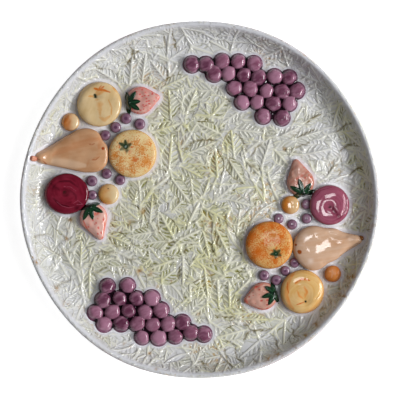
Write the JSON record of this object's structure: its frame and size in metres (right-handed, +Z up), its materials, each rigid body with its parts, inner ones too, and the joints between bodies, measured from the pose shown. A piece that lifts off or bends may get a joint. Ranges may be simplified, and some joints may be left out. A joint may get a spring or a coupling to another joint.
{
  "type": "tart plate",
  "caption": "Round shallow glazed tart plate on a foot ring, its leaf-embossed well set with grapes, apples, pears, oranges and berries in relief.",
  "frame": {"origin": "on the table, under the middle of the dish", "axes": "+Z up out of the well; +Y towards the upper grape bunch's side of the picture, +X to the picture's right"},
  "size_m": [0.3212, 0.3184, 0.028],
  "materials": {
    "plate_glaze": "glossy white glaze with green and yellow washed into the relief",
    "grape_glaze": "glossy mauve glaze, dark plum between the grapes",
    "apple_glaze": "glossy cream and ochre glaze",
    "orange_glaze": "glossy ochre glaze with a sponged orange speckle",
    "plum_glaze": "glossy crimson glaze, brushed",
    "pear_glaze": "glossy tan glaze, brushed lengthwise",
    "pear_stem_glaze": "glossy pinkish brown glaze",
    "apricot_glaze": "glossy ochre-orange glaze",
    "strawberry_glaze": "glossy pale pink glaze with red speckles",
    "crown_glaze": "glossy dark green glaze",
    "berry_glaze": "glossy purple glaze with a dark dot"
  },
  "bodies": {
    "root": {"plate_body": "plate_glaze", "grape_bunch_upper": "grape_glaze", "grape_bunch_lower": "grape_glaze", "apple_left": "apple_glaze", "orange_left": "orange_glaze", "plum_left": "plum_glaze", "pear_left": "pear_glaze", "pear_stem_left": "pear_stem_glaze", "apricot_outer_left": "apricot_glaze", "apricot_inner_left": "apricot_glaze", "strawberry_upper_left": "strawberry_glaze", "strawberry_lower_left": "strawberry_glaze", "strawberry_crown_upper_left": "crown_glaze", "strawberry_crown_lower_left": "crown_glaze", "berry_1_left": "berry_glaze", "berry_2_left": "berry_glaze", "berry_3_left": "berry_glaze", "berry_4_left": "berry_glaze", "berry_5_left": "berry_glaze", "berry_6_left": "berry_glaze", "berry_7_left": "berry_glaze", "berry_8_left": "berry_glaze", "apple_right": "apple_glaze", "orange_right": "orange_glaze", "plum_right": "plum_glaze", "pear_right": "pear_glaze", "pear_stem_right": "pear_stem_glaze", "apricot_outer_right": "apricot_glaze", "apricot_inner_right": "apricot_glaze", "strawberry_upper_right": "strawberry_glaze", "strawberry_lower_right": "strawberry_glaze", "strawberry_crown_upper_right": "crown_glaze", "strawberry_crown_lower_right": "crown_glaze", "berry_1_right": "berry_glaze", "berry_2_right": "berry_glaze", "berry_3_right": "berry_glaze", "berry_4_right": "berry_glaze", "berry_5_right": "berry_glaze", "berry_6_right": "berry_glaze", "berry_7_right": "berry_glaze", "berry_8_right": "berry_glaze"}
  },
  "joints": []
}
